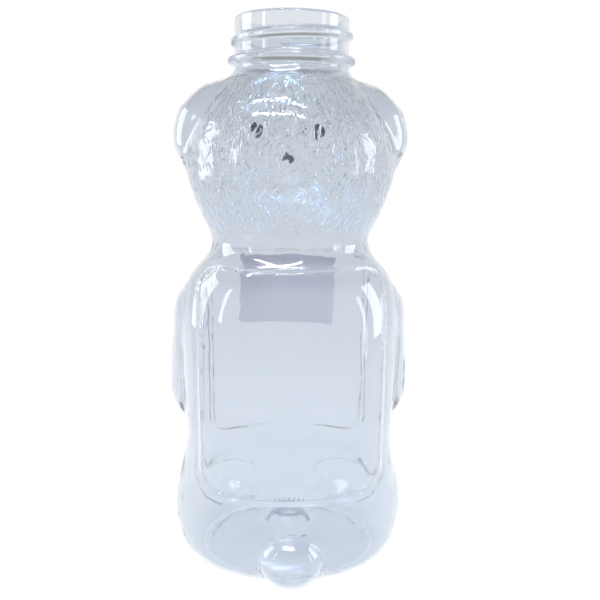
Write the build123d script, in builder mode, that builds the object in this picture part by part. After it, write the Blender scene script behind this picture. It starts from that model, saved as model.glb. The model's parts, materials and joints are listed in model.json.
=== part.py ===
"""Honey bear bottle: a clear blow-moulded squeeze bottle in the shape of a seated bear.

One hollow moulding carries the threaded neck, the furry head with its ears and muzzle, the arms, the seat with its
feet and round tail, a recessed label panel at the front and at the back, and a raised base.
The eyes and the nose are spots of dark paint, and a blank paper label is stuck to the front panel.

Millimetres. +Z is up from the floor, the bear faces -Y, and +X is to the bear's left.
The origin is on the floor, under the middle of the bottle.
"""
import math
import os

from build123d import *

# The whole bottle
bottle_height = 173.2
wall = 0.6
overrun = 5.0

# The neck finish, for a 38 mm screw cap
neck_length = 16.7
neck_radius = 17.7
bore_radius = 15.9
rim_round = 0.8
bead_radius = 19.9
bead_thickness = 2.4
bead_below_rim = 12.9
bead_fillet = 0.7

# The screw thread, right-handed, with its middle at the bear's back
thread_radius = 18.9
thread_pitch = 4.23
thread_turns = 1.1
thread_root_width = 3.2
thread_crest_width = 1.1
thread_root_sink = 0.4
thread_middle_below_rim = 6.3

# The head, from the pinch under the chin to the foot of the neck
pinch_height = 105.0
pinch_half_width = 25.0
pinch_half_depth = 23.0
head_half_width = 33.5
head_half_depth = 30.6

# The ears, one at each side of the head, with how far their middles lie inside the head's widest line
ear_half_width = 11.6
ear_half_depth = 10.0
ear_half_height = 15.6
ear_inward = 8.6
ear_below_neck = 16.5
ear_lean = 20.0

# The muzzle and the tuft under the chin
muzzle_half_width = 9.8
muzzle_half_depth = 9.0
muzzle_half_height = 8.6
muzzle_inward = 3.0
muzzle_above_pinch = 22.0
tuft_half_width = 4.4
tuft_half_depth = 3.2
tuft_half_height = 5.4
tuft_outward = 0.2
tuft_above_pinch = 5.5

# The seated body, widest at the seat
seat_half_width = 38.9
seat_half_depth = 33.0

# The arms, from a small round shoulder to a larger paw
paw_radius = 14.9
paw_inward = 13.4
paw_forward = 5.0
paw_below_pinch = 49.2
shoulder_radius = 11.3
shoulder_inward = 12.3
shoulder_back = 1.5
shoulder_below_pinch = 23.0

# The tail, and the feet, which reach as far forward as the tail reaches back
tail_half_width = 10.0
tail_half_depth = 8.6
tail_half_height = 8.8
tail_inward = 3.0
tail_lift = 0.1
foot_half_width = 11.8
foot_half_depth = 12.2
foot_half_height = 10.8
foot_inward = 18.1
foot_lift = 0.4

# The recessed label panels, one at the front and one at the back
panel_width = 57.2
panel_bottom = 30.0
panel_below_pinch = 6.5
panel_corner = 7.0
panel_recess = 0.7
panel_cut_start = 10.0

# The raised base inside the ring that the bottle stands on
ring_width = 3.2
dome_rise = 6.0
boss_rise = 4.2
boss_root_radius = 8.4
boss_top_radius = 6.4

# The painted face
paint_thickness = 0.12
eye_half_width = 2.2
eye_half_height = 2.6
eye_spacing = 21.6
eye_above_pinch = 35.4
nose_half_width = 2.5
nose_half_height = 1.9
nose_above_muzzle = 4.2

# The paper label
paper_thickness = 0.15
label_width = 35.0
label_height = 25.0
label_below_panel_top = 3.1
label_tilt = 1.5

# Sections of the body and of the head: height, width and depth as shares, and how square the section is.
# Body heights are shares of the pinch height, and its sizes are shares of the seat's.
BODY_SHARES = (
    (0.000, 0.775, 0.820, 2.2),
    (0.012, 0.845, 0.875, 2.2),
    (0.036, 0.914, 0.922, 2.15),
    (0.076, 0.964, 0.957, 2.1),
    (0.135, 0.991, 0.982, 2.1),
    (0.210, 0.978, 0.992, 2.25),
    (0.290, 0.922, 1.000, 2.45),
    (0.370, 0.876, 1.000, 2.6),
    (0.480, 0.874, 0.994, 2.7),
    (0.600, 0.890, 0.979, 2.7),
    (0.720, 0.895, 0.952, 2.65),
    (0.800, 0.888, 0.925, 2.55),
    (0.862, 0.862, 0.890, 2.4),
    (0.912, 0.792, 0.840, 2.3),
    (0.955, 0.688, 0.755, 2.2),
)
# Head heights are shares of the way from the pinch to the foot of the neck, and its sizes are shares of the head's.
HEAD_SHARES = (
    (0.075, 0.785, 0.785, 2.1),
    (0.185, 0.866, 0.872, 2.1),
    (0.305, 0.938, 0.948, 2.1),
    (0.430, 0.982, 0.995, 2.1),
    (0.555, 0.978, 0.992, 2.1),
    (0.680, 0.910, 0.945, 2.1),
    (0.800, 0.800, 0.850, 2.1),
    (0.900, 0.680, 0.735, 2.05),
)
section_points = 16
sides = (-1, 1)

# Places that follow from the sizes
neck_foot = bottle_height - neck_length
bead_height = bottle_height - bead_below_rim
ear_out = head_half_width - ear_inward
ear_height = neck_foot - ear_below_neck
muzzle_centre = (0, muzzle_inward - head_half_depth, pinch_height + muzzle_above_pinch)
tuft_centre = (0, -pinch_half_depth - tuft_outward, pinch_height + tuft_above_pinch)
paw_out = seat_half_width - paw_inward
paw_height = pinch_height - paw_below_pinch
shoulder_out = seat_half_width - shoulder_inward
shoulder_height = pinch_height - shoulder_below_pinch
tail_centre = (0, seat_half_depth - tail_inward, tail_half_height + tail_lift)
foot_out = seat_half_width - foot_inward
foot_forward = seat_half_depth - tail_inward + tail_half_depth - foot_half_depth
foot_height = foot_half_height + foot_lift
panel_top = pinch_height - panel_below_pinch
panel_middle = (panel_bottom + panel_top) / 2
panel_height = panel_top - panel_bottom
cut_length = seat_half_depth + overrun
label_middle = panel_top - label_below_panel_top - label_height / 2


def core_sections(inset):
    """Each section of body and head as height, half width, half depth and squareness, moved inwards by inset."""
    rings = [
        (high * pinch_height, wide * seat_half_width, deep * seat_half_depth, square)
        for high, wide, deep, square in BODY_SHARES
    ]
    rings.append((pinch_height, pinch_half_width, pinch_half_depth, 2))
    head_rise = neck_foot - pinch_height
    rings += [
        (pinch_height + high * head_rise, wide * head_half_width, deep * head_half_depth, square)
        for high, wide, deep, square in HEAD_SHARES
    ]
    rings.append((neck_foot, neck_radius, neck_radius, 2))
    moved = []
    last = len(rings) - 1
    for index, (high, wide, deep, square) in enumerate(rings):
        below = rings[max(index - 1, 0)]
        above = rings[min(index + 1, last)]
        slope = math.atan2(above[1] - below[1], above[0] - below[0])
        lift = inset * math.sin(slope)
        draw = inset * math.cos(slope)
        if index == 0:
            lift, draw = inset, inset
        if index == last:
            lift, draw = 0, inset * (neck_radius - bore_radius) / wall
        moved.append((high + lift, wide - draw, deep - draw, square))
    return moved


def oval(half_width, half_depth, square):
    """Points round a section: an ellipse at squareness 2, and closer to a rectangle above it."""
    points = []
    for step in range(section_points):
        turn = math.tau * step / section_points
        x = math.copysign(abs(math.cos(turn)) ** (2 / square), math.cos(turn))
        y = math.copysign(abs(math.sin(turn)) ** (2 / square), math.sin(turn))
        points.append((half_width * x, half_depth * y))
    return points


def core(inset):
    """Body and head as one smooth solid, moved inwards by inset."""
    with BuildPart() as solid:
        for high, wide, deep, square in core_sections(inset):
            with BuildSketch(Plane.XY.offset(high)):
                with BuildLine():
                    Spline(*oval(wide, deep, square), periodic=True)
                make_face()
        loft()
    return solid.part


def ellipsoid(centre, half_width, half_depth, half_height):
    """An ellipsoid round its centre."""
    with BuildPart() as lobe:
        Sphere(1)
        scale(by=(half_width, half_depth, half_height))
    return Pos(*centre) * lobe.part


def muzzle(inset):
    """The muzzle, which also carries the nose."""
    return ellipsoid(
        muzzle_centre, muzzle_half_width - inset, muzzle_half_depth - inset, muzzle_half_height - inset
    )


def ear(side, inset):
    """One ear, which leans in towards the neck."""
    upright = ellipsoid((0, 0, 0), ear_half_width - inset, ear_half_depth - inset, ear_half_height - inset)
    return Pos(side * ear_out, 0, ear_height) * Rot(0, -side * ear_lean, 0) * upright


def arm(side, inset):
    """One arm: a round shoulder and a larger round paw, with the cone that touches both between them."""
    shoulder = Vector(side * shoulder_out, shoulder_back, shoulder_height)
    paw = Vector(side * paw_out, -paw_forward, paw_height)
    along = shoulder - paw
    lower = paw_radius - inset
    upper = shoulder_radius - inset
    lean = math.asin((lower - upper) / along.length)
    lower_touch = (lower * math.cos(lean), lower * math.sin(lean))
    upper_touch = (upper * math.cos(lean), along.length + upper * math.sin(lean))
    below = (lean - math.pi / 2) / 2
    above = (lean + math.pi / 2) / 2
    lower_middle = (lower * math.cos(below), lower * math.sin(below))
    upper_middle = (upper * math.cos(above), along.length + upper * math.sin(above))
    across = Plane(origin=paw, x_dir=(side, 0, 0), z_dir=along)
    with BuildPart() as limb:
        with BuildSketch(Plane(origin=paw, x_dir=across.x_dir, z_dir=-across.y_dir)):
            with BuildLine():
                ThreePointArc((0, -lower), lower_middle, lower_touch)
                Line(lower_touch, upper_touch)
                ThreePointArc(upper_touch, upper_middle, (0, along.length + upper))
                Line((0, along.length + upper), (0, -lower))
            make_face()
        revolve(axis=Axis(paw, along))
    return limb.part


def lobes(inset):
    """Everything that bulges out of the core: ears, muzzle, tuft, arms, feet and tail."""
    rounds = [
        muzzle(inset),
        ellipsoid(tuft_centre, tuft_half_width - inset, tuft_half_depth - inset, tuft_half_height - inset),
        ellipsoid(tail_centre, tail_half_width - inset, tail_half_depth - inset, tail_half_height - inset),
    ]
    for side in sides:
        foot_centre = (side * foot_out, -foot_forward, foot_height)
        rounds.append(ear(side, inset))
        rounds.append(
            ellipsoid(foot_centre, foot_half_width - inset, foot_half_depth - inset, foot_half_height - inset)
        )
        rounds.append(arm(side, inset))
    return rounds


def panel_cut(facing, inset, floor):
    """What a label panel takes out of the form, down to its floor: facing is -1 at the front and 1 at the back."""
    plane = Plane(origin=(0, facing * panel_cut_start, panel_middle), x_dir=(-facing, 0, 0), z_dir=(0, facing, 0))
    with BuildPart() as cut:
        with BuildSketch(plane):
            RectangleRounded(panel_width + 2 * inset, panel_height + 2 * inset, panel_corner + inset)
        extrude(amount=cut_length - panel_cut_start)
        add(floor, mode=Mode.SUBTRACT)
    return cut.part


def raised_base(inset):
    """The dome and its boss under the bottle, grown by inset for the inside."""
    ring_share, ring_wide_share, ring_deep_share, _ = BODY_SHARES[0]
    half_width = ring_wide_share * seat_half_width - ring_width + inset
    half_depth = ring_deep_share * seat_half_depth - ring_width + inset
    dome = ellipsoid((0, 0, ring_share), half_width, half_depth, dome_rise + inset)
    with BuildPart() as hollow:
        add(dome)
        with BuildSketch(Plane.XY):
            Circle(boss_root_radius + inset)
        with BuildSketch(Plane.XY.offset(dome_rise + boss_rise + inset)):
            Circle(boss_top_radius + inset)
        loft()
    return hollow.part


def bear_form(inset, skin):
    """The whole bear below its neck as a solid: inset 0 is the outside, and the wall gives the inside."""
    rounds = lobes(inset)
    floor = core(inset + panel_recess)
    cuts = [panel_cut(facing, inset, floor) for facing in sides]
    cuts.append(raised_base(inset))
    with BuildPart() as form:
        add(skin)
        add(rounds)
        add(cuts, mode=Mode.SUBTRACT)
    return form.part


def neck_ring():
    """The neck with its round rim and the bead under the thread."""
    with BuildPart() as ring:
        with BuildSketch(Plane.XZ) as profile:
            with Locations((bore_radius, neck_foot)):
                Rectangle(neck_radius - bore_radius, neck_length, align=Align.MIN)
            fillet(profile.vertices().group_by(Axis.Z)[-1], rim_round)
            with Locations((bore_radius, bead_height)):
                Rectangle(
                    bead_radius - bore_radius - bead_thickness / 2, bead_thickness, align=(Align.MIN, Align.CENTER)
                )
            with Locations((bead_radius - bead_thickness / 2, bead_height)):
                Circle(bead_thickness / 2)
        revolve(axis=Axis.Z)
        roots = ring.edges().filter_by(GeomType.CIRCLE).filter_by(
            lambda edge: abs(edge.radius - neck_radius) < rim_round / 2
            and abs(edge.center().Z - bead_height) < bead_thickness
        )
        fillet(roots, bead_fillet)
    return ring.part


def screw_thread():
    """The thread: a trapezoid swept along a helix, with its root sunk into the neck."""
    rise = thread_pitch * thread_turns
    start_height = bottle_height - thread_middle_below_rim - rise / 2
    start_angle = 90 - 180 * thread_turns
    with BuildPart() as ridge:
        with BuildLine() as path:
            Helix(thread_pitch, rise, neck_radius)
        with BuildSketch(Plane.XZ):
            with BuildLine():
                Polyline(
                    (neck_radius - thread_root_sink, -thread_root_width / 2),
                    (thread_radius, -thread_crest_width / 2),
                    (thread_radius, thread_crest_width / 2),
                    (neck_radius - thread_root_sink, thread_root_width / 2),
                    close=True,
                )
            make_face()
        sweep(path=path.line, is_frenet=True)
    return Pos(0, 0, start_height) * Rot(0, 0, start_angle) * ridge.part


def front_plane(across, high, start, tilt=0):
    """A plane that looks out of the bear's front, with its X axis turned up by tilt degrees."""
    turn = math.radians(tilt)
    return Plane(origin=(across, -start, high), x_dir=(math.cos(turn), 0, math.sin(turn)), z_dir=(0, -1, 0))


skin = core(0)
painted_skin = core(-paint_thickness)
panel_floor = core(panel_recess)
papered_floor = core(panel_recess - paper_thickness)
outside = bear_form(0, skin)
inside = bear_form(wall, core(wall))
neck = neck_ring()
thread = screw_thread()

# The moulding
with BuildPart() as bottle:
    add(outside)
    add(inside, mode=Mode.SUBTRACT)
    add([neck, thread])
bottle.part.label = "bottle"

# The eyes, one at each side of the face
eyes = []
for side in sides:
    with BuildPart() as eye:
        with BuildSketch(front_plane(side * eye_spacing / 2, pinch_height + eye_above_pinch, 0)):
            Ellipse(eye_half_width, eye_half_height)
        extrude(amount=head_half_depth + overrun)
        add(painted_skin, mode=Mode.INTERSECT)
        add(skin, mode=Mode.SUBTRACT)
    eyes.append(eye.part)
right_eye, left_eye = eyes
right_eye.label = "right_eye"
left_eye.label = "left_eye"

# The nose, on the muzzle
muzzle_skin = muzzle(0)
painted_muzzle = muzzle(-paint_thickness)
with BuildPart() as nose:
    with BuildSketch(front_plane(0, muzzle_centre[2] + nose_above_muzzle, -muzzle_centre[1])):
        Ellipse(nose_half_width, nose_half_height)
    extrude(amount=muzzle_half_depth + overrun)
    add(painted_muzzle, mode=Mode.INTERSECT)
    add(muzzle_skin, mode=Mode.SUBTRACT)
nose.part.label = "nose"

# The paper label, on the front panel
with BuildPart() as paper_label:
    with BuildSketch(front_plane(0, label_middle, panel_cut_start, label_tilt)):
        Rectangle(label_width, label_height)
    extrude(amount=cut_length)
    add(papered_floor, mode=Mode.INTERSECT)
    add(panel_floor, mode=Mode.SUBTRACT)
paper_label.part.label = "paper_label"

os.makedirs("parts", exist_ok=True)
for piece in (bottle.part, left_eye, right_eye, nose.part, paper_label.part):
    export_step(piece, f"parts/{piece.label}.step")
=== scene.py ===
"""The looks of a clear honey bear bottle, laid out as an add-on and run as a script.

The bottle is one blow-moulded piece of clear PET: a threaded neck, a head with moulded fur, smooth ears, arms, feet,
a round tail and two recessed label panels. The eyes and the nose are dark paint, and a bare lavender paper label is
stuck to the front panel. Metres, in the part's own frame: +Z is up, the bear faces -Y and +X is to the bear's left.
"""
import json
import math

import bmesh
import bpy
import numpy as np
from bpy.props import FloatProperty, FloatVectorProperty, IntProperty, PointerProperty
from mathutils import Matrix, Vector
from mathutils.bvhtree import BVHTree
from mathutils.kdtree import KDTree

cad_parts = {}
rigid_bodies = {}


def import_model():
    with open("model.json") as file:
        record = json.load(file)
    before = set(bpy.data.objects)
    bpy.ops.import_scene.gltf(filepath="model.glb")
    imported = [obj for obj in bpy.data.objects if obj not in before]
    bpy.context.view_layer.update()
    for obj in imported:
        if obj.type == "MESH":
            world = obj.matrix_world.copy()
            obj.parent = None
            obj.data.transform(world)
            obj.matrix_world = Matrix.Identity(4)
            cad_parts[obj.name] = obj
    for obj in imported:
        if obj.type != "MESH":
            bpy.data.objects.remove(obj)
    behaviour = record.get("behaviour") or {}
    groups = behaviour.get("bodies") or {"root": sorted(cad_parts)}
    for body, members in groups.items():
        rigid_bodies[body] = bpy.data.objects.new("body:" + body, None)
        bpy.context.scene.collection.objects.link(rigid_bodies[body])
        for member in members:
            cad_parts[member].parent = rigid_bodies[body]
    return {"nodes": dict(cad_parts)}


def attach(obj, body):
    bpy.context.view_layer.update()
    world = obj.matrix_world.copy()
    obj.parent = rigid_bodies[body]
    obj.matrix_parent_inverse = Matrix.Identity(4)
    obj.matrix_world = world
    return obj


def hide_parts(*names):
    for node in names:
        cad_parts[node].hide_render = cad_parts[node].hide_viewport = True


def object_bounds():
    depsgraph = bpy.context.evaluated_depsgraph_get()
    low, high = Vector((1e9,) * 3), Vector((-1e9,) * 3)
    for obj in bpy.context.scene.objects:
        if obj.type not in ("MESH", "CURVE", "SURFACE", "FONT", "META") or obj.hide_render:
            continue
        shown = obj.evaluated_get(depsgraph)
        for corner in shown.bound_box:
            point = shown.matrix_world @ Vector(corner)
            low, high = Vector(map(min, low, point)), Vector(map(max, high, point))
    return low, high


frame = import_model()
CAD_BOX = [list(corner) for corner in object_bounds()]

bl_info = {
    "name": "Honey Bear Bottle",
    "version": (1, 0, 0),
    "blender": (4, 5, 0),
    "location": "View3D > Sidebar > Bear Bottle",
    "description": "Models a clear blow-moulded honey bear bottle, its painted face and its bare paper label",
    "category": "Add Mesh",
}

MM = 0.001
ORIGIN = Vector((0, 0, 0))
UP = Vector((0, 0, 1))
BACKWARD = Vector((0, 1, 0))
BEFORE_FACE = -60 * MM  # the rays that find the bear's front start here
PANELS_FROM = 10 * MM  # the label panels lie farther than this from the middle, in front and behind
TAIL = np.array((0, 29.4, 8.7)) * MM  # the middle of the round tail
LEFT_EAR = np.array((24.9, 0, 140.0)) * MM
RIGHT_EAR = np.array((-24.9, 0, 140.0)) * MM

LAMPS_AIM = (0, 0, 0.09)
COOL = (0.92, 0.95, 1.0)
WHITE = (1.0, 1.0, 1.0)
# Each lamp has a name, a place, a width, a height and a power in watts.
WINDOWS = (
    ("left_window", (0.53, -0.12, 0.22), 0.26, 0.42, 1.7),
    ("right_window", (-0.55, 0.02, 0.20), 0.20, 0.36, 1.2),
    ("left_pane", (0.44, 0.27, 0.24), 0.05, 0.26, 0.25),
    ("near_window", (-0.48, 0.24, 0.09), 0.05, 0.40, 0.2),
)
TUBES = (
    ("ceiling_tube", (0.12, 0.34, 0.62), 0.50, 0.014, 2.5),
    ("far_ceiling_tube", (0.10, 0.20, 0.66), 0.44, 0.014, 1.4),
)


def linear(hex_colour):
    """An sRGB hex colour as the linear red, green and blue that the shaders take."""
    channels = [int(hex_colour[start:start + 2], 16) / 255 for start in (0, 2, 4)]
    return [c / 12.92 if c <= 0.04045 else ((c + 0.055) / 1.055) ** 2.4 for c in channels]


def length(name, description, default):
    """A setting in metres."""
    return FloatProperty(name=name, description=description, default=default, unit="LENGTH", subtype="DISTANCE")


def turned_by(name, description, degrees):
    """A setting that is an angle."""
    return FloatProperty(name=name, description=description, default=math.radians(degrees), subtype="ANGLE")


def tint(name, description, hex_colour):
    """A setting that is a colour."""
    colour = linear(hex_colour)
    return FloatVectorProperty(name=name, description=description, default=colour, size=3, subtype="COLOR")


class BearSkinSettings(bpy.types.PropertyGroup):
    """Sizes of the moulding below its neck."""

    wall: length("Wall", "Thickness of the plastic", 0.6 * MM)
    voxel: length("Voxel", "Grid on which the outer skin is rebuilt", 1.45 * MM)
    inner_voxel: length("Inner voxel", "Grid on which the inner skin is rebuilt", 2.0 * MM)
    rounding: IntProperty(name="Rounding", description="Smoothing steps that round the creases", default=7)
    panel_width: length("Panel width", "Width of a label panel", 57.2 * MM)
    panel_low: length("Panel bottom", "Height of a label panel's lower edge", 30 * MM)
    panel_high: length("Panel top", "Height of a label panel's upper edge", 98.5 * MM)
    panel_corner: length("Panel corner", "Corner radius of a label panel", 7 * MM)
    panel_recess: length("Panel recess", "Depth of a label panel", 0.7 * MM)
    panel_step: length("Panel step", "Width of the slope round a label panel", 0.9 * MM)


class BearFurSettings(bpy.types.PropertyGroup):
    """Sizes of the fur moulded into the head."""

    low: length("Fur bottom", "Height where the fur starts", 107.5 * MM)
    high: length("Fur top", "Height where the fur ends", 155.6 * MM)
    height: length("Fur height", "How far a lock stands out", 0.06 * MM)
    width: length("Lock width", "Width of a lock of fur", 1.0 * MM)
    spacing: length("Lock spacing", "Distance between locks", 2.6 * MM)
    reach: length("Lock length", "Length of a long lock", 5.6 * MM)
    seed: IntProperty(name="Seed", description="Which arrangement of locks is drawn", default=11)


class BearNeckSettings(bpy.types.PropertyGroup):
    """Sizes of the neck finish."""

    foot: length("Neck foot", "Height where the neck starts", 156.5 * MM)
    radius: length("Neck radius", "Outer radius of the neck", 17.7 * MM)
    bore: length("Bore radius", "Inner radius of the neck", 15.9 * MM)
    rim_round: length("Rim round", "Radius round the edges of the rim", 0.8 * MM)
    bead_radius: length("Bead radius", "Outer radius of the bead", 19.9 * MM)
    bead_thickness: length("Bead thickness", "Height of the bead", 2.4 * MM)
    bead_below_rim: length("Bead below rim", "From the rim down to the bead's middle", 12.9 * MM)
    thread_radius: length("Thread radius", "Outer radius of the thread", 18.9 * MM)
    thread_pitch: length("Thread pitch", "Rise of the thread in one turn", 4.23 * MM)
    thread_turns: FloatProperty(name="Thread turns", description="How far round the thread goes", default=1.1)
    thread_root: length("Thread root", "Width of the thread at the neck", 3.2 * MM)
    thread_crest: length("Thread crest", "Width of the thread at its top", 1.1 * MM)
    thread_below_rim: length("Thread below rim", "From the rim down to the thread's middle", 6.3 * MM)
    columns: IntProperty(name="Columns", description="Faces round the neck", default=120)


class BearFaceSettings(bpy.types.PropertyGroup):
    """Sizes of the painted eyes and nose."""

    paint: length("Paint thickness", "Thickness of the paint", 0.12 * MM)
    eye_width: length("Eye width", "Width of an eye", 4.4 * MM)
    eye_height: length("Eye height", "Height of an eye", 5.2 * MM)
    eye_spacing: length("Eye spacing", "From one eye's middle to the other's", 21.6 * MM)
    eye_level: length("Eye level", "Height of the eyes", 140.4 * MM)
    nose_width: length("Nose width", "Width of the nose", 4.6 * MM)
    nose_height: length("Nose height", "Height of the nose", 3.1 * MM)
    nose_level: length("Nose level", "Height of the nose", 131.2 * MM)


class BearLabelSettings(bpy.types.PropertyGroup):
    """Sizes of the paper label."""

    thickness: length("Paper thickness", "Thickness of the paper", 0.15 * MM)
    width: length("Label width", "Width of the label", 35 * MM)
    height: length("Label height", "Height of the label", 25 * MM)
    level: length("Label level", "Height of the label's middle", 82.9 * MM)
    tilt: turned_by("Label tilt", "Turn of the label", 1.5)


class BearStageSettings(bpy.types.PropertyGroup):
    """Where the camera stands, and how it looks at the bottle."""

    distance: length("Camera distance", "From the bottle's axis to the camera", 241.4 * MM)
    level: length("Camera height", "Height of the camera", 131 * MM)
    pitch: turned_by("Pitch", "How far down it looks", 10.8)
    round_by: turned_by("Azimuth", "How far round it stands from the bear's back", 2.0)
    roll: turned_by("Roll", "How far it leans", 0.62)
    focal_share: FloatProperty(name="Focal share", description="Focal length over picture width",
                               default=744 / 600)
    aside_share: FloatProperty(name="Aside share", description="How far the axis lies left of the middle",
                               default=10.4 / 600)


class BearColours(bpy.types.PropertyGroup):
    """Colours of the finishes."""

    plastic: tint("Plastic", "Cool cast of one wall of clear PET", "DFE4EA")
    paint: tint("Paint", "Dark face paint", "13152A")
    paper: tint("Paper", "Lavender paper", "EFE6FF")
    floor: tint("Floor", "Pale floor", "F2F3F5")


def only(*pieces):
    """Selects these objects alone and makes the first one active."""
    bpy.ops.object.select_all(action="DESELECT")
    for piece in pieces:
        piece.select_set(True)
    bpy.context.view_layer.objects.active = pieces[0]


def open_edit(piece):
    """Opens a piece in edit mode with nothing selected."""
    only(piece)
    bpy.ops.object.mode_set(mode="EDIT")
    bpy.ops.mesh.select_all(action="DESELECT")


def close_edit():
    """Goes back to object mode."""
    bpy.ops.object.mode_set(mode="OBJECT")


def pick(piece, kind, chosen):
    """In edit mode, selects just the vertices, edges or faces that pass a test."""
    bpy.ops.mesh.select_mode(type=kind)
    bpy.ops.mesh.select_all(action="DESELECT")
    form = bmesh.from_edit_mesh(piece.data)
    elements = {"VERT": form.verts, "EDGE": form.edges, "FACE": form.faces}[kind]
    for element in elements:
        if chosen(element):
            element.select_set(True)
    form.select_flush_mode()
    bmesh.update_edit_mesh(piece.data)


def edit_all(piece, operation, **settings):
    """Runs one edit mode operation on the whole of a piece."""
    open_edit(piece)
    bpy.ops.mesh.select_all(action="SELECT")
    operation(**settings)
    close_edit()


def face_outwards(piece):
    """Turns all of a piece's faces outwards."""
    edit_all(piece, bpy.ops.mesh.normals_make_consistent, inside=False)


def cut_above(piece, height):
    """Cuts a piece off level at a height, and leaves it open there."""
    edit_all(piece, bpy.ops.mesh.bisect, plane_co=UP * height, plane_no=UP, clear_outer=True)


def apply_modifier(piece, kind, **settings):
    """Adds a modifier with its settings and applies it."""
    only(piece)
    modifier = piece.modifiers.new(kind.title(), kind)
    for name, value in settings.items():
        setattr(modifier, name, value)
    bpy.ops.object.modifier_apply(modifier=modifier.name)


def points_of(piece):
    """The places of a mesh's vertices, one row each."""
    flat = np.empty(len(piece.data.vertices) * 3)
    piece.data.vertices.foreach_get("co", flat)
    return flat.reshape(-1, 3)


def faces_of(piece, measure):
    """The middles or the normals of a mesh's faces, one row each."""
    flat = np.empty(len(piece.data.polygons) * 3)
    piece.data.polygons.foreach_get(measure, flat)
    return flat.reshape(-1, 3)


def put_points(piece, points):
    """Moves a mesh's vertices to these places."""
    piece.data.vertices.foreach_set("co", points.ravel())
    piece.data.update()


def normals_of(piece):
    """The smooth normal at each vertex."""
    flat = np.empty(len(piece.data.vertices) * 3, np.float32)
    piece.data.vertex_normals.foreach_get("vector", flat)
    return flat.reshape(-1, 3).astype(float)


def smooth_step(value):
    """0 below 0, 1 above 1 and a smooth rise between them."""
    value = np.clip(value, 0, 1)
    return value * value * (3 - 2 * value)


def tree_of(piece):
    """A search tree over a piece's faces."""
    mesh = piece.data
    return BVHTree.FromPolygons([v.co for v in mesh.vertices], [p.vertices for p in mesh.polygons])


def rename(piece, name):
    """Names an object and its mesh."""
    piece.name = name
    piece.data.name = name
    return piece


def finish_piece(piece, node_names, material):
    """Gives a finished piece its material and its body, and hides the CAD nodes that it stands in for."""
    piece.data.materials.clear()
    piece.data.materials.append(material)
    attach(piece, "root")
    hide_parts(*node_names)


def panel_edge_distance(across, high, skin):
    """Distance from a label panel's edge, below zero inside the panel."""
    half_width = skin.panel_width / 2 - skin.panel_corner
    half_height = (skin.panel_high - skin.panel_low) / 2 - skin.panel_corner
    middle = (skin.panel_high + skin.panel_low) / 2
    out_across = np.abs(across) - half_width
    out_high = np.abs(high - middle) - half_height
    outside = np.hypot(np.maximum(out_across, 0), np.maximum(out_high, 0))
    inside = np.minimum(np.maximum(out_across, out_high), 0)
    return outside + inside - skin.panel_corner


def copy_of_node(node, name):
    """A copy of a CAD node's mesh as a new object, with its doubles merged."""
    mesh = frame["nodes"][node].data.copy()
    mesh.materials.clear()
    piece = bpy.data.objects.new(name, mesh)
    bpy.context.scene.collection.objects.link(piece)
    rename(piece, name)
    edit_all(piece, bpy.ops.mesh.remove_doubles, threshold=0.002 * MM)
    face_outwards(piece)
    return piece


def outer_solid(skin, neck):
    """The moulding's outside below its neck, closed over a plain tube, with flush panels and rounded creases."""
    solid = copy_of_node("bottle", "outer_skin")
    cut_above(solid, neck.foot + 0.5 * MM)
    lowest = min(vertex.co.z for vertex in solid.data.vertices)
    open_edit(solid)
    pick(solid, "VERT", lambda vertex: vertex.co.z < lowest + 0.01 * MM)
    bpy.ops.mesh.select_linked()
    bpy.ops.mesh.select_all(action="INVERT")
    bpy.ops.mesh.delete(type="VERT")
    close_edit()
    fill_panels(solid, skin)
    exact = tree_of(solid)
    open_edit(solid)
    pick(solid, "EDGE", lambda edge: edge.is_boundary)
    bpy.ops.mesh.extrude_edges_move(TRANSFORM_OT_translate={"value": UP * 9 * MM})
    bpy.ops.mesh.edge_face_add()
    close_edit()
    apply_modifier(solid, "REMESH", mode="VOXEL", voxel_size=skin.voxel, use_smooth_shade=True)
    apply_modifier(solid, "SMOOTH", factor=0.5, iterations=skin.rounding)
    crisp_creases(solid, exact)
    soften_creases(solid)
    settle_foot(solid)
    return solid


def crease_share(points):
    """1 round the creases that stay crisp, at the tail and the ears, fading to 0 away from them."""
    share = np.zeros(len(points))
    fade = 2.5  # millimetres, as the reaches are
    for centre, reach in ((TAIL, 11.0), (LEFT_EAR, 15.5), (RIGHT_EAR, 15.5)):
        away = np.linalg.norm(points - centre, axis=1)
        share = np.maximum(share, 1 - smooth_step((away / MM - reach) / fade))
    return share


def crisp_creases(solid, exact):
    """Refines the skin at the tail, and lays it back on the exact surface at the tail and the ears."""
    near_tail = np.linalg.norm(faces_of(solid, "center") - TAIL, axis=1) < 10.6 * MM
    open_edit(solid)
    pick(solid, "FACE", lambda face: near_tail[face.index])
    bpy.ops.mesh.subdivide(number_cuts=2)
    close_edit()
    points = points_of(solid)
    share = crease_share(points)
    for index in np.flatnonzero(share):
        place = exact.find_nearest(Vector(points[index]))[0]
        points[index] += (np.array(place) - points[index]) * share[index]
    put_points(solid, points)


def soften_creases(solid):
    """Rounds some creases further, as blown plastic doesn't reach into them."""
    places = (
        (15, lambda x, y, z: y < 7 and 13 < z < 38),  # from the feet to the seat's sides
        (60, lambda x, y, z: y < -3 and 13.5 < z < 34),  # over the feet
        (25, lambda x, y, z: abs(x) > 15 and 147 < z < 156),  # beside the neck
        (12, lambda x, y, z: abs(x) > 24 and 124 < z < 134),  # under the ears
    )
    open_edit(solid)
    for repeat, inside in places:
        pick(solid, "VERT", lambda vertex: inside(*(c / MM for c in vertex.co)))
        bpy.ops.mesh.vertices_smooth(factor=0.5, repeat=repeat)
    close_edit()


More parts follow.
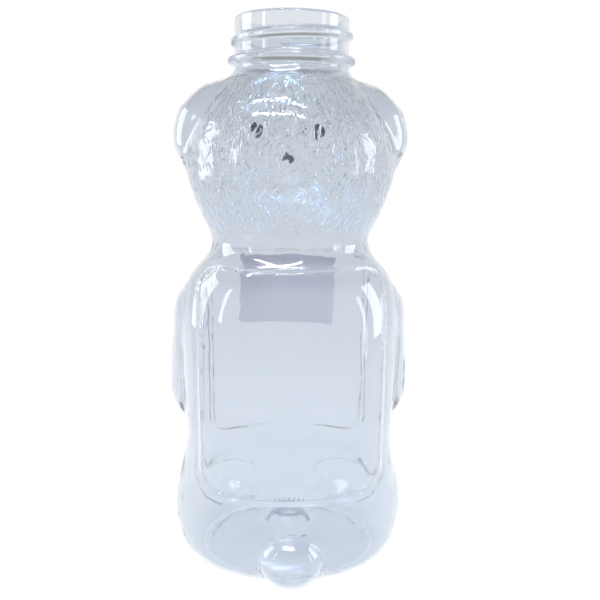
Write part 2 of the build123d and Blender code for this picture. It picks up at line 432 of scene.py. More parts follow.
def fill_panels(solid, skin):
    """Pushes the floors of the label panels out until they are flush with the body."""
    points = points_of(solid)
    middles = faces_of(solid, "center")
    facing = faces_of(solid, "normal")
    inside = panel_edge_distance(middles[:, 0], middles[:, 2], skin) < -0.01 * MM
    floors = np.flatnonzero(inside & (np.abs(facing[:, 1]) > 0.3) & (np.abs(middles[:, 1]) > PANELS_FROM))
    push = np.zeros_like(points)
    for index in floors:
        for corner in solid.data.polygons[index].vertices:
            push[corner] += facing[index]
    reach = np.linalg.norm(push, axis=1)
    moved = reach > 0
    points[moved] += push[moved] / reach[moved, None] * skin.panel_recess
    put_points(solid, points)


def settle_foot(solid):
    """Brings the rounded underside back down to the floor, as a flat ring to stand on."""
    points = points_of(solid)
    lowest = points[:, 2].min()
    share = 1 - smooth_step(points[:, 2] / (4 * MM))
    points[:, 2] -= (lowest + 0.12 * MM) * share
    points[:, 2] = np.maximum(points[:, 2], 0)
    put_points(solid, points)


def inner_solid(outer, skin):
    """The inside of the moulding: a coarser copy of the outer skin, one wall further in."""
    solid = outer.copy()
    solid.data = outer.data.copy()
    bpy.context.scene.collection.objects.link(solid)
    rename(solid, "inner_skin")
    apply_modifier(solid, "REMESH", mode="VOXEL", voxel_size=skin.inner_voxel, use_smooth_shade=True)
    apply_modifier(solid, "SMOOTH", factor=0.5, iterations=2)
    target = tree_of(outer)
    points = points_of(solid)
    for index, point in enumerate(points):
        place, normal, _, _ = target.find_nearest(Vector(point))
        points[index] = place - normal * skin.wall
    put_points(solid, points)
    apply_modifier(solid, "SMOOTH", factor=0.4, iterations=2)
    keep_apart(solid, target, skin)
    return solid


def keep_apart(inner, outside, skin):
    """Pushes the inner skin inwards wherever one of its faces comes too near the outer skin."""
    least = 0.6 * skin.wall
    for _ in range(6):
        points = points_of(inner)
        push = np.zeros_like(points)
        for index, middle in enumerate(faces_of(inner, "center")):
            place, normal, _, _ = outside.find_nearest(Vector(middle))
            depth = (place - Vector(middle)).dot(normal)
            if depth < least:
                for corner in inner.data.polygons[index].vertices:
                    if least - depth > np.linalg.norm(push[corner]):
                        push[corner] = -np.array(normal) * (least - depth)
        put_points(inner, points + push)


def cut_panels(solid, skin, step):
    """Sinks both label panels into a skin, with a slope of the given width round them."""
    points = points_of(solid)
    normals = normals_of(solid)
    edge = panel_edge_distance(points[:, 0], points[:, 2], skin)
    depth = smooth_step((step / 2 - edge) / step) * skin.panel_recess
    depth[np.abs(points[:, 1]) < PANELS_FROM] = 0
    # The front panel is a little shallower at its lower corners, above the feet.
    above_feet = smooth_step((np.abs(points[:, 0]) / MM - 13) / 6) * (1 - smooth_step((points[:, 2] / MM - 24) / 8))
    depth *= 1 - above_feet * (points[:, 1] < 0)
    points -= normals * depth[:, None]
    put_points(solid, points)


def sharpen_panel_edges(outer, skin):
    """Refines the outer skin along the panels' edges and lines its vertices up with them."""
    band = skin.panel_step / 2 + 0.62 * skin.voxel
    fine = 0.25 * skin.voxel ** 2

    def in_band(face):
        middle = face.calc_center_median()
        near = abs(float(panel_edge_distance(middle.x, middle.z, skin))) < band
        return near and abs(middle.y) > PANELS_FROM and face.calc_area() > fine

    open_edit(outer)
    pick(outer, "FACE", in_band)
    bpy.ops.mesh.subdivide(number_cuts=2)
    bpy.ops.mesh.vertices_smooth(factor=0.5, repeat=3)
    close_edit()
    points = points_of(outer)
    nudge = 0.01 * MM
    across, high = points[:, 0], points[:, 2]
    edge = panel_edge_distance(across, high, skin)
    slope_across = (panel_edge_distance(across + nudge, high, skin) - edge) / nudge
    slope_high = (panel_edge_distance(across, high + nudge, skin) - edge) / nudge
    for line in (-skin.panel_step / 2, skin.panel_step / 2):
        gap = line - edge
        near = (np.abs(gap) < 0.17 * skin.voxel) & (np.abs(points[:, 1]) > PANELS_FROM)
        points[near, 0] += gap[near] * slope_across[near]
        points[near, 2] += gap[near] * slope_high[near]
    put_points(outer, points)


def smooth_places(points):
    """How bare of fur each place is: 1 on the ears, the muzzle, the chin tuft and round the eyes."""
    bare = np.zeros(len(points))
    ear_sizes = np.array((11.6, 10.0, 15.6)) * MM
    eye_sizes = np.array((3.4, 5.0, 3.9)) * MM
    muzzle = ((0, -27.6, 127.0), (9.8, 9.0, 8.6))
    chin_tuft = ((0, -23.2, 110.5), (4.4, 3.2, 5.4))
    lean = math.radians(20)
    for side, ear in ((-1, RIGHT_EAR), (1, LEFT_EAR)):
        away = points - ear
        turned = np.column_stack((
            away[:, 0] * math.cos(lean) + side * away[:, 2] * math.sin(lean),
            away[:, 1],
            away[:, 2] * math.cos(lean) - side * away[:, 0] * math.sin(lean),
        ))
        bare = np.maximum(bare, 1 - smooth_step((np.linalg.norm(turned / ear_sizes, axis=1) - 1.04) / 0.12))
        away = (points - np.array((side * 10.8, -28.0, 140.4)) * MM) / eye_sizes
        bare = np.maximum(bare, 1 - smooth_step((np.linalg.norm(away, axis=1) - 0.9) / 0.3))
    for centre, sizes in (muzzle, chin_tuft):
        away = (points - np.array(centre) * MM) / (np.array(sizes) * MM)
        bare = np.maximum(bare, 1 - smooth_step((np.linalg.norm(away, axis=1) - 1.0) / 0.15))
    return bare


def comb_locks(outer, fur):
    """The fur's locks as points along them on the skin, each with how high the lock stands there."""
    tree = tree_of(outer)
    draw = np.random.default_rng(fur.seed)
    stride = 0.28 * MM
    row_height = 0.72 * fur.reach
    places = []
    heights = []
    level = fur.low
    while level < fur.high:
        radius = tree.ray_cast(UP * level, BACKWARD)[0].y
        count = int(math.tau * radius / fur.spacing)
        for number in range(count):
            angle = (number + draw.uniform(-0.35, 0.35)) / count * math.tau
            high = level + draw.uniform(-0.5, 0.5) * 0.75 * fur.reach
            span = fur.reach * draw.uniform(0.45, 1.0)
            turn = 0.35 * math.sin(5 * angle + high / (7 * MM)) + 0.4 * math.sin(2 * angle - high / (11 * MM))
            turn += draw.normal(0, 0.28)
            sway = draw.uniform(0.25, 0.8)
            phase = draw.uniform(0, math.tau)
            beat = draw.uniform(2.6, 4.4) * MM
            lift = draw.uniform(0.7, 1.0)
            steps = max(int(span / stride), 6)
            for step in range(steps):
                if not fur.low < high < fur.high:
                    break
                hit = tree.ray_cast(UP * high, Vector((math.cos(angle), math.sin(angle), 0)))[0]
                if hit is None:
                    break
                along = step / (steps - 1)
                places.append(hit)
                heights.append(lift * math.sin(math.pi * min(max(along, 0.12), 0.9)) ** 0.5)
                lean = turn + sway * math.sin(math.tau * step * stride / beat + phase)
                angle += math.sin(lean) * stride / math.hypot(hit.x, hit.y)
                high -= math.cos(lean) * stride
        level += row_height
    return places, heights


def grow_fur(outer, fur):
    """Refines the head's skin, raises the locks of fur on it and marks how furry each place is."""
    low, high = fur.low - 1 * MM, fur.high + 1 * MM
    refined = smooth_places(faces_of(outer, "center")) < 0.98
    open_edit(outer)
    pick(outer, "FACE", lambda face: low < face.calc_center_median().z < high and refined[face.index])
    bpy.ops.mesh.subdivide(number_cuts=1)
    bpy.ops.mesh.vertices_smooth(factor=0.5, repeat=3)
    close_edit()
    places, heights = comb_locks(outer, fur)
    search = KDTree(len(places))
    for index, place in enumerate(places):
        search.insert(place, index)
    search.balance()
    points = points_of(outer)
    normals = normals_of(outer)
    height = points[:, 2]
    lift = np.zeros(len(points))
    spread = fur.width / 2.355  # from the full width at half height to the bell curve's own width
    for index in np.flatnonzero((height > low) & (height < high)):
        _, nearest, distance = search.find(Vector(points[index]))
        lift[index] = heights[nearest] * math.exp(-0.5 * (distance / spread) ** 2)
    furry = 1 - smooth_places(points)
    furry *= smooth_step((height - fur.low) / (3 * MM)) * smooth_step((fur.high - height) / (1 * MM))
    put_points(outer, points + normals * (lift * furry)[:, None] * fur.height)
    mark = outer.data.attributes.new("fur", "FLOAT", "POINT")
    mark.data.foreach_set("value", furry)


def neck_profile(neck, rim):
    """The neck's section from the outside of its foot over the rim and down the bore: radius, height, outside."""
    start = neck.foot + 1.4 * MM
    bead_height = rim - neck.bead_below_rim
    bead_core = neck.bead_radius - neck.bead_thickness / 2
    rows = []
    for height in np.arange(start, rim - neck.rim_round, 0.33 * MM):
        away = height - bead_height
        half = neck.bead_thickness / 2
        bulge = math.sqrt(max(half * half - away * away, 0)) + bead_core - neck.radius if abs(away) < half else 0
        fillet = 0.55 * MM * math.exp(-((abs(away) - half) / (0.35 * MM)) ** 2)
        rows.append((neck.radius + max(bulge, fillet), height, True))
    turns = [math.pi / 2 * step / 6 for step in range(7)]
    for turn in turns:
        radius = neck.radius - neck.rim_round * (1 - math.cos(turn))
        rows.append((radius, rim - neck.rim_round * (1 - math.sin(turn)), False))
    for turn in turns:
        radius = neck.bore + neck.rim_round * (1 - math.sin(turn))
        rows.append((radius, rim - neck.rim_round * (1 - math.cos(turn)), False))
    for height in np.linspace(rim - 2 * neck.rim_round, neck.foot + 0.6 * MM, 12):
        rows.append((neck.bore, height, False))
    for wider, lower in ((0.1, 0.1), (0.45, 0.6), (1.0, 0.95)):
        rows.append((neck.bore + wider * MM, neck.foot - lower * MM, False))
    return rows


def thread_rise(neck, rim, angle, height):
    """How far the thread stands out of the neck at an angle and a height."""
    climb = neck.thread_pitch * neck.thread_turns
    low = rim - neck.thread_below_rim - climb / 2
    first = math.pi / 2 - math.pi * neck.thread_turns
    rise = np.zeros_like(angle)
    for lap in (-1, 0, 1, 2):
        turns = (angle + lap * math.tau - first) / math.tau
        away = np.abs(height - low - neck.thread_pitch * turns)
        flank = (neck.thread_root / 2 - away) / ((neck.thread_root - neck.thread_crest) / 2)
        ends = smooth_step(turns / 0.05) * smooth_step((neck.thread_turns - turns) / 0.05)
        rise = np.maximum(rise, smooth_step(flank) * ends)
    return rise * (neck.thread_radius - neck.radius)


def neck_wall(neck):
    """The neck as a wall open at its foot: bead and thread outside, plain bore inside."""
    rim = CAD_BOX[1][2]
    rows = neck_profile(neck, rim)
    columns = neck.columns
    angles = np.arange(columns) / columns * math.tau
    bpy.ops.mesh.primitive_grid_add(x_subdivisions=columns, y_subdivisions=len(rows) - 1, size=1)
    wall = rename(bpy.context.active_object, "neck_wall")
    points = np.empty((len(rows), columns + 1, 3))
    for level, (radius, height, outside) in enumerate(rows):
        heights = np.full(columns, height)
        radii = np.full(columns, radius)
        if outside:
            radii = np.maximum(radii, neck.radius + thread_rise(neck, rim, angles, heights))
        points[level, :columns, 0] = radii * np.cos(angles)
        points[level, :columns, 1] = radii * np.sin(angles)
        points[level, :columns, 2] = height
        points[level, columns] = points[level, 0]
    put_points(wall, points.reshape(-1, 3))
    edit_all(wall, bpy.ops.mesh.remove_doubles, threshold=0.001 * MM)
    return wall


def bridge(piece, chosen):
    """Joins two open loops, whose edges pass a test, with a band of faces."""
    pick(piece, "EDGE", lambda edge: edge.is_boundary and chosen(edge))
    bpy.ops.mesh.bridge_edge_loops()


def build_moulding(scene):
    """The whole bottle as one closed skin round its plastic."""
    skin, fur, neck = scene.bear_skin, scene.bear_fur, scene.bear_neck
    outer = outer_solid(skin, neck)
    inner = inner_solid(outer, skin)
    sharpen_panel_edges(outer, skin)
    cut_panels(outer, skin, skin.panel_step)
    cut_panels(inner, skin, 2.6 * MM)  # a slope wide enough for the inner skin's coarser grid
    cut_above(outer, neck.foot + 0.9 * MM)
    cut_above(inner, neck.foot - 1.9 * MM)
    grow_fur(outer, fur)
    edit_all(inner, bpy.ops.mesh.flip_normals)
    wall = neck_wall(neck)
    only(outer, inner, wall)
    bpy.ops.object.join()
    rename(outer, "bottle_moulding")
    middle = (neck.radius + neck.bore) / 2
    outer_loops, inner_loops = neck.foot + 0.5 * MM, neck.foot - 4 * MM
    open_edit(outer)
    bridge(outer, lambda edge: edge.verts[0].co.z > outer_loops and edge.verts[0].co.xy.length > middle)
    bridge(outer, lambda edge: edge.verts[0].co.z > inner_loops)
    close_edit()
    face_outwards(outer)
    only(outer)
    bpy.ops.object.shade_smooth()
    return outer


def paint_spot(name, across, high, width, height, thickness, skin_tree):
    """A domed oval of paint on the front of the head."""
    bpy.ops.mesh.primitive_circle_add(vertices=40, radius=1, fill_type="NGON")
    spot = rename(bpy.context.active_object, name)
    open_edit(spot)
    pick(spot, "FACE", lambda face: True)
    for _ in range(6):
        bpy.ops.mesh.inset(thickness=0.15, depth=0)
    bpy.ops.mesh.poke()
    close_edit()
    points = points_of(spot)
    for index, point in enumerate(points):
        place = Vector((across + point[0] * width / 2, BEFORE_FACE, high + point[1] * height / 2))
        hit, normal, _, _ = skin_tree.ray_cast(place, BACKWARD)
        dome = (1 - min(point[0] ** 2 + point[1] ** 2, 1)) ** 0.35
        points[index] = hit + normal * (0.01 * MM + thickness * dome)
    put_points(spot, points)
    face_outwards(spot)
    apply_modifier(spot, "SOLIDIFY", thickness=thickness * 0.5, offset=0)
    only(spot)
    bpy.ops.object.shade_smooth()
    return spot


def build_label(label, skin_tree):
    """The paper label, laid on the front panel."""
    bpy.ops.mesh.primitive_grid_add(x_subdivisions=36, y_subdivisions=26, size=1)
    sheet = rename(bpy.context.active_object, "paper_label_sheet")
    points = points_of(sheet)
    curled_from, curl_scale, curl_height = 0.3, 0.28, 0.5 * MM
    corner = np.hypot(np.maximum(points[:, 0] - curled_from, 0), np.maximum(-points[:, 1] - curled_from, 0))
    for index, (across, up, _) in enumerate(points.copy()):
        along = across * label.width
        rise = up * label.height
        x = along * math.cos(label.tilt) - rise * math.sin(label.tilt)
        z = label.level + rise * math.cos(label.tilt) + along * math.sin(label.tilt)
        hit, normal, _, _ = skin_tree.ray_cast(Vector((x, BEFORE_FACE, z)), BACKWARD)
        curl = curl_height * (corner[index] / curl_scale) ** 2
        points[index] = hit + normal * (0.05 * MM + label.thickness / 2 + curl)
    put_points(sheet, points)
    apply_modifier(sheet, "SMOOTH", factor=0.5, iterations=3)
    apply_modifier(sheet, "SOLIDIFY", thickness=label.thickness, offset=0)
    face_outwards(sheet)
    only(sheet)
    bpy.ops.object.shade_smooth_by_angle(angle=math.radians(40))
    return sheet


def add_node(tree, kind, values=(), links=(), **settings):
    """Adds a node with its settings, its socket values and its incoming links."""
    made = tree.nodes.new(kind)
    for name, value in settings.items():
        setattr(made, name, value)
    for socket, value in values:
        made.inputs[socket].default_value = value
    for socket, source in links:
        tree.links.new(source, made.inputs[socket])
    return made


def new_material(name):
    """A new material with an empty tree."""
    material = bpy.data.materials.new(name)
    material.use_nodes = True
    material.node_tree.nodes.clear()
    return material, material.node_tree


def fine_fur(tree, place):
    """Height of the fine hairs between the modelled locks: short wavy strokes, one in each cell round the head."""
    head_radius = 31 * MM
    cell_width, cell_length = 1.6, 3.8  # millimetres, as are the strokes' half width and half length
    half_width, half_length = 0.38, 2.3
    cell_scale = (1 / (cell_width * MM), 1 / (cell_length * MM), 1)
    apart = add_node(tree, "ShaderNodeSeparateXYZ", links=[("Vector", place)])
    turn = add_node(tree, "ShaderNodeMath", links=[(0, apart.outputs["Y"]), (1, apart.outputs["X"])],
                    operation="ARCTAN2")
    round_by = add_node(tree, "ShaderNodeMath", [(1, head_radius)], [(0, turn.outputs[0])], operation="MULTIPLY")
    flat = add_node(tree, "ShaderNodeCombineXYZ", links=[("X", round_by.outputs[0]), ("Y", apart.outputs["Z"])])
    drift = add_node(tree, "ShaderNodeTexNoise", [("Scale", 1 / (4 * MM)), ("Detail", 1.0)],
                     [("Vector", flat.outputs[0])])
    centred = add_node(tree, "ShaderNodeVectorMath", [(1, (0.5, 0.5, 0.5))], [(0, drift.outputs["Color"])],
                       operation="SUBTRACT")
    scaled = add_node(tree, "ShaderNodeVectorMath", [("Scale", 5 * MM)], [(0, centred.outputs[0])],
                      operation="SCALE")
    moved = add_node(tree, "ShaderNodeVectorMath", links=[(0, flat.outputs[0]), (1, scaled.outputs[0])],
                     operation="ADD")
    stretched = add_node(tree, "ShaderNodeMapping", [("Location", (0.37, 0.61, 0)), ("Scale", cell_scale)],
                         [("Vector", moved.outputs[0])])
    cells = add_node(tree, "ShaderNodeTexVoronoi", [("Scale", 1.0), ("Randomness", 0.85)],
                     [("Vector", stretched.outputs[0])], feature="F1", voronoi_dimensions="2D")
    away = add_node(tree, "ShaderNodeVectorMath",
                    links=[(0, stretched.outputs[0]), (1, cells.outputs["Position"])], operation="SUBTRACT")
    even = add_node(tree, "ShaderNodeVectorMath", [(1, (cell_width, cell_length, 0.0))], [(0, away.outputs[0])],
                    operation="MULTIPLY")
    chance = add_node(tree, "ShaderNodeSeparateXYZ", links=[("Vector", cells.outputs["Color"])])
    slant = add_node(tree, "ShaderNodeMapRange", [("To Min", -0.6), ("To Max", 0.6)],
                     [("Value", chance.outputs["X"])])
    turned = add_node(tree, "ShaderNodeVectorRotate",
                      links=[("Vector", even.outputs[0]), ("Angle", slant.outputs[0])], rotation_type="Z_AXIS")
    shape = add_node(tree, "ShaderNodeVectorMath", [(1, (1 / half_width, 1 / half_length, 1.0))],
                     [(0, turned.outputs[0])], operation="MULTIPLY")
    reach = add_node(tree, "ShaderNodeVectorMath", links=[(0, shape.outputs[0])], operation="LENGTH")
    stroke = add_node(tree, "ShaderNodeMapRange", [("From Min", 0.15), ("To Min", 1.0), ("To Max", 0.0)],
                      [("Value", reach.outputs["Value"])], interpolation_type="SMOOTHSTEP")
    kept = add_node(tree, "ShaderNodeMapRange", [("From Min", 0.0), ("From Max", 0.25)],
                    [("Value", chance.outputs["Y"])], interpolation_type="SMOOTHSTEP")
    drawn = add_node(tree, "ShaderNodeMath", links=[(0, stroke.outputs[0]), (1, kept.outputs[0])],
                     operation="MULTIPLY")
    furry = add_node(tree, "ShaderNodeAttribute", attribute_name="fur")
    return add_node(tree, "ShaderNodeMath", links=[(0, drawn.outputs[0]), (1, furry.outputs["Fac"])],
                    operation="MULTIPLY").outputs[0]


def clear_pet(colours):
    """Stretch-blown clear PET: glossy, cool in cast, faintly wavy, with a few handling scuffs."""
    material, tree = new_material("clear_blow_moulded_pet")
    place = add_node(tree, "ShaderNodeTexCoord").outputs["Object"]
    waves = add_node(tree, "ShaderNodeTexNoise", [("Scale", 1 / (14 * MM)), ("Detail", 1.0)], [("Vector", place)])
    scuffs = add_node(tree, "ShaderNodeTexNoise", [("Scale", 1 / (5 * MM)), ("Detail", 6.0), ("Roughness", 0.7)],
                      [("Vector", place)])
    rough = add_node(tree, "ShaderNodeMapRange",
                     [("From Min", 0.5), ("From Max", 0.8), ("To Min", 0.04), ("To Max", 0.1)],
                     [("Value", scuffs.outputs["Fac"])])
    bump = add_node(tree, "ShaderNodeBump", [("Strength", 0.35), ("Distance", 0.5 * MM)],
                    [("Height", waves.outputs["Fac"])])
    hairs = fine_fur(tree, place)
    bump = add_node(tree, "ShaderNodeBump", [("Strength", 1.0), ("Distance", 0.21 * MM)],
                    [("Height", hairs), ("Normal", bump.outputs["Normal"])])
    shader = add_node(tree, "ShaderNodeBsdfPrincipled",
                      [("Base Color", (*colours.plastic, 1)), ("IOR", 1.575), ("Transmission Weight", 1.0)],
                      [("Roughness", rough.outputs["Result"]), ("Normal", bump.outputs["Normal"])])
    depth = add_node(tree, "ShaderNodeVolumeAbsorption", [("Color", (0.55, 0.65, 0.75, 1)), ("Density", 10)])
    add_node(tree, "ShaderNodeOutputMaterial",
             links=[("Surface", shader.outputs["BSDF"]), ("Volume", depth.outputs["Volume"])])
    return material


def face_paint(colours):
    """Pad-printed dark paint: satin, a little uneven where it has dried."""
    material, tree = new_material("dark_satin_face_paint")
    place = add_node(tree, "ShaderNodeTexCoord").outputs["Object"]
    grain = add_node(tree, "ShaderNodeTexNoise", [("Scale", 1 / (0.8 * MM)), ("Detail", 3.0)], [("Vector", place)])
    mix = add_node(tree, "ShaderNodeMix", [(6, (*colours.paint, 1)), (7, (*[c * 2.2 for c in colours.paint], 1))],
                   [("Factor", grain.outputs["Fac"])], data_type="RGBA")
    bump = add_node(tree, "ShaderNodeBump", [("Strength", 0.4), ("Distance", 0.04 * MM)],
                    [("Height", grain.outputs["Fac"])])
    shader = add_node(tree, "ShaderNodeBsdfPrincipled", [("Roughness", 0.38)],
                      [("Base Color", mix.outputs[2]), ("Normal", bump.outputs["Normal"])])
    add_node(tree, "ShaderNodeOutputMaterial", links=[("Surface", shader.outputs["BSDF"])])
    return material


def label_paper(colours):
    """Uncoated lavender paper: matt, with fibres and a faint cloudiness."""
    material, tree = new_material("uncoated_lavender_paper")
    place = add_node(tree, "ShaderNodeTexCoord").outputs["Object"]
    cloud = add_node(tree, "ShaderNodeTexNoise", [("Scale", 1 / (9 * MM)), ("Detail", 4.0)], [("Vector", place)])
    fibre = add_node(tree, "ShaderNodeTexNoise", [("Scale", 1 / (0.35 * MM)), ("Detail", 3.0)], [("Vector", place)])
    pale = [min(c * 1.1, 1) for c in colours.paper]
    deep = [c * 0.93 for c in colours.paper]
    mix = add_node(tree, "ShaderNodeMix", [(6, (*deep, 1)), (7, (*pale, 1))], [("Factor", cloud.outputs["Fac"])],
                   data_type="RGBA")
    bump = add_node(tree, "ShaderNodeBump", [("Strength", 0.3), ("Distance", 0.03 * MM)],
                    [("Height", fibre.outputs["Fac"])])
    shader = add_node(tree, "ShaderNodeBsdfPrincipled",
                      [("Roughness", 0.85), ("Specular IOR Level", 0.3), ("Subsurface Weight", 1.0),
                       ("Subsurface Radius", (1.0, 1.0, 1.0)), ("Subsurface Scale", 0.6 * MM)],
                      [("Base Color", mix.outputs[2]), ("Normal", bump.outputs["Normal"])])
    add_node(tree, "ShaderNodeOutputMaterial", links=[("Surface", shader.outputs["BSDF"])])
    return material


def seen_directly(tree):
    """1 for what the camera sees, also by way of gloss and glass, and 0 for what only lights the object."""
    path = add_node(tree, "ShaderNodeLightPath")
    seen = add_node(tree, "ShaderNodeMath",
                    links=[(0, path.outputs["Is Camera Ray"]), (1, path.outputs["Is Glossy Ray"])],
                    operation="MAXIMUM")
    return add_node(tree, "ShaderNodeMath", links=[(0, seen.outputs[0]), (1, path.outputs["Is Transmission Ray"])],
                    operation="MAXIMUM").outputs[0]


def build_world(scene):
    """A plain white studio that lights the object softly and, seen in the plastic, dims towards its ceiling."""
    world = bpy.data.worlds.new("white_studio")
    world.use_nodes = True
    tree = world.node_tree
    tree.nodes.clear()
    way = add_node(tree, "ShaderNodeTexCoord").outputs["Generated"]
    rise = add_node(tree, "ShaderNodeSeparateXYZ", links=[("Vector", way)]).outputs["Z"]
    dim = add_node(tree, "ShaderNodeMapRange",
                   [("From Min", 0.3), ("From Max", 0.75), ("To Min", 1.0), ("To Max", 0.35)],
                   [("Value", rise)], interpolation_type="SMOOTHSTEP")
    path = add_node(tree, "ShaderNodeLightPath")
    backdrop = add_node(tree, "ShaderNodeMath",
                        links=[(0, path.outputs["Is Camera Ray"]), (1, dim.outputs["Result"])],
                        operation="MAXIMUM")
    strength = add_node(tree, "ShaderNodeMix", [("A", 1.0)],
                        [("Factor", seen_directly(tree)), ("B", backdrop.outputs[0])])
    back = add_node(tree, "ShaderNodeBackground", [("Color", (1, 1, 1, 1))],
                    [("Strength", strength.outputs["Result"])])
    add_node(tree, "ShaderNodeOutputWorld", links=[("Surface", back.outputs["Background"])])
    scene.world = world


def build_floor(colours):
    """A plain pale floor that keeps the bottle's soft shadow and runs on into the white behind."""
    bpy.ops.mesh.primitive_circle_add(vertices=96, radius=6, fill_type="NGON", location=ORIGIN)
    floor = rename(bpy.context.active_object, "studio_floor")
    material, tree = new_material("pale_matt_floor")
    seen = seen_directly(tree)
    pale = add_node(tree, "ShaderNodeMix", [(6, (*colours.floor, 1)), (7, (*[c * 0.4 for c in colours.floor], 1))],
                    [("Factor", seen)], data_type="RGBA")
    matt = add_node(tree, "ShaderNodeBsdfDiffuse", links=[("Color", pale.outputs[2])])
    glow = add_node(tree, "ShaderNodeEmission", [("Strength", 0.65)])
    dark = add_node(tree, "ShaderNodeEmission", [("Strength", 0.0)])
    lift = add_node(tree, "ShaderNodeMixShader", links=[
        (0, seen), (1, dark.outputs["Emission"]), (2, glow.outputs["Emission"])])
    both = add_node(tree, "ShaderNodeAddShader", links=[(0, matt.outputs["BSDF"]), (1, lift.outputs["Shader"])])
    add_node(tree, "ShaderNodeOutputMaterial", links=[("Surface", both.outputs["Shader"])])
    floor.data.materials.append(material)


def add_softbox(name, place, width, height, power, colour):
    """One rectangular lamp that looks at the bottle's middle."""
    lamp = bpy.data.lights.new(name, "AREA")
    lamp.shape = "RECTANGLE"
    lamp.size, lamp.size_y = width, height
    lamp.energy = power
    lamp.color = colour
    holder = bpy.data.objects.new(name, lamp)
    holder.location = place
    holder.rotation_euler = (Vector(LAMPS_AIM) - Vector(place)).to_track_quat("-Z", "Y").to_euler()
    bpy.context.scene.collection.objects.link(holder)
    return holder


def place_camera(scene, stage):
    """The camera at the photograph's viewing angle, behind the bear."""
    round_by, pitch, roll = stage.round_by, stage.pitch, stage.roll
    yaw = math.atan(stage.aside_share / stage.focal_share)
    level = Vector((-math.sin(round_by), -math.cos(round_by), 0))
    side = Vector((-math.cos(round_by), math.sin(round_by), 0))
    ahead = level * math.cos(yaw) + side * math.sin(yaw)
    right = side * math.cos(yaw) - level * math.sin(yaw)
    forward = ahead * math.cos(pitch) - UP * math.sin(pitch)
    top = UP * math.cos(pitch) + ahead * math.sin(pitch)
    right, top = right * math.cos(roll) + top * math.sin(roll), top * math.cos(roll) - right * math.sin(roll)
    data = bpy.data.cameras.new("camera")
    data.sensor_width = 36
    data.lens = 36 * stage.focal_share
    data.clip_start = 0.01
    camera = bpy.data.objects.new("camera", data)
    turn = Matrix((right, top, -forward)).transposed().to_4x4()
    place = Vector((stage.distance * math.sin(round_by), stage.distance * math.cos(round_by), stage.level))
    camera.matrix_world = Matrix.Translation(place) @ turn
    scene.collection.objects.link(camera)
    scene.camera = camera


class BEAR_OT_moulding(bpy.types.Operator):
    """Model the clear bottle with its fur, panels and threaded neck"""

    bl_idname = "bear.moulding"
    bl_label = "Bottle Moulding"

    def execute(self, context):
        scene = context.scene
        moulding = build_moulding(scene)
        finish_piece(moulding, ["bottle"], clear_pet(scene.bear_colours))
        return {"FINISHED"}


class BEAR_OT_face(bpy.types.Operator):
    """Paint the eyes and the nose on the head"""

    bl_idname = "bear.face"
    bl_label = "Painted Face"

    def execute(self, context):
        scene = context.scene
        face = scene.bear_face
        skin_tree = tree_of(bpy.data.objects["bottle_moulding"])
        paint = face_paint(scene.bear_colours)
        half = face.eye_spacing / 2
        spots = (
            ("right_eye", -half, face.eye_level, face.eye_width, face.eye_height),
            ("left_eye", half, face.eye_level, face.eye_width, face.eye_height),
            ("nose", 0, face.nose_level, face.nose_width, face.nose_height),
        )
        for node, across, high, width, height in spots:
            spot = paint_spot(node + "_paint", across, high, width, height, face.paint, skin_tree)
            finish_piece(spot, [node], paint)
        return {"FINISHED"}


class BEAR_OT_label(bpy.types.Operator):
    """Lay the bare paper label on the front panel"""

    bl_idname = "bear.label"
    bl_label = "Paper Label"

    def execute(self, context):
        scene = context.scene
        skin_tree = tree_of(bpy.data.objects["bottle_moulding"])
        sheet = build_label(scene.bear_label, skin_tree)
        finish_piece(sheet, ["paper_label"], label_paper(scene.bear_colours))
        return {"FINISHED"}


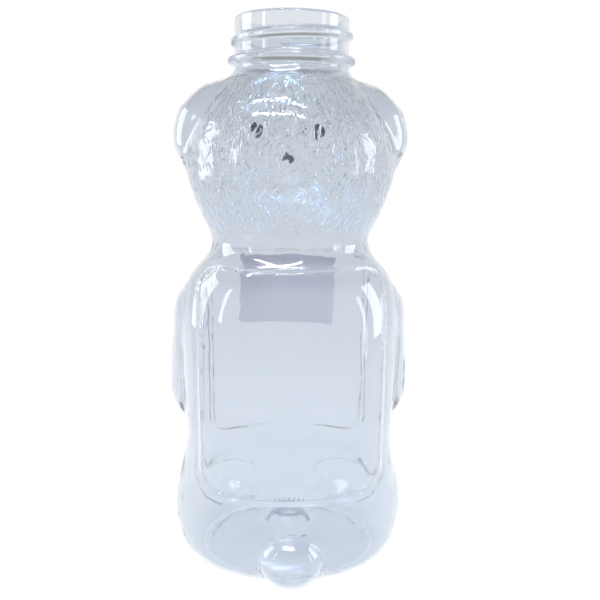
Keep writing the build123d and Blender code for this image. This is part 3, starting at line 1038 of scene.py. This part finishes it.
class BEAR_OT_stage(bpy.types.Operator):
    """Set the floor, the light and the camera"""

    bl_idname = "bear.stage"
    bl_label = "Stage"

    def execute(self, context):
        scene = context.scene
        build_floor(scene.bear_colours)
        build_world(scene)
        windows = [add_softbox(*lamp, COOL) for lamp in WINDOWS]
        tubes = [add_softbox(*lamp, WHITE) for lamp in TUBES]
        # The tubes' light passes the clear plastic freely, and only the paint and the paper stop it.
        opaque = bpy.data.collections.new("opaque_pieces")
        for name in ("right_eye_paint", "left_eye_paint", "nose_paint", "paper_label_sheet"):
            opaque.objects.link(bpy.data.objects[name])
        for tube in tubes:
            tube.light_linking.blocker_collection = opaque
        # The windows are there to be mirrored in the plastic, and only the near one is seen through it.
        for window in windows:
            window.visible_diffuse = False
            window.visible_transmission = window.name == "near_window"
        place_camera(scene, scene.bear_stage)
        scene.view_settings.view_transform = "Standard"
        scene.cycles.max_bounces = 40
        scene.cycles.transmission_bounces = 32
        scene.cycles.glossy_bounces = 32
        return {"FINISHED"}


class BEAR_PT_sidebar(bpy.types.Panel):
    """The steps that make the bottle"""

    bl_idname = "BEAR_PT_sidebar"
    bl_label = "Bear Bottle"
    bl_space_type = "VIEW_3D"
    bl_region_type = "UI"
    bl_category = "Bear Bottle"

    def draw(self, context):
        for operator in OPERATORS:
            self.layout.operator(operator.bl_idname)


GROUPS = {
    "bear_skin": BearSkinSettings,
    "bear_fur": BearFurSettings,
    "bear_neck": BearNeckSettings,
    "bear_face": BearFaceSettings,
    "bear_label": BearLabelSettings,
    "bear_stage": BearStageSettings,
    "bear_colours": BearColours,
}
OPERATORS = (BEAR_OT_moulding, BEAR_OT_face, BEAR_OT_label, BEAR_OT_stage)


def register():
    for name, group in GROUPS.items():
        bpy.utils.register_class(group)
        setattr(bpy.types.Scene, name, PointerProperty(type=group))
    for item in (*OPERATORS, BEAR_PT_sidebar):
        bpy.utils.register_class(item)


def unregister():
    for item in (BEAR_PT_sidebar, *reversed(OPERATORS)):
        bpy.utils.unregister_class(item)
    for name, group in reversed(GROUPS.items()):
        delattr(bpy.types.Scene, name)
        bpy.utils.unregister_class(group)


def main():
    register()
    bpy.ops.bear.moulding()
    bpy.ops.bear.face()
    bpy.ops.bear.label()
    bpy.ops.bear.stage()


if __name__ == "__main__":
    main()
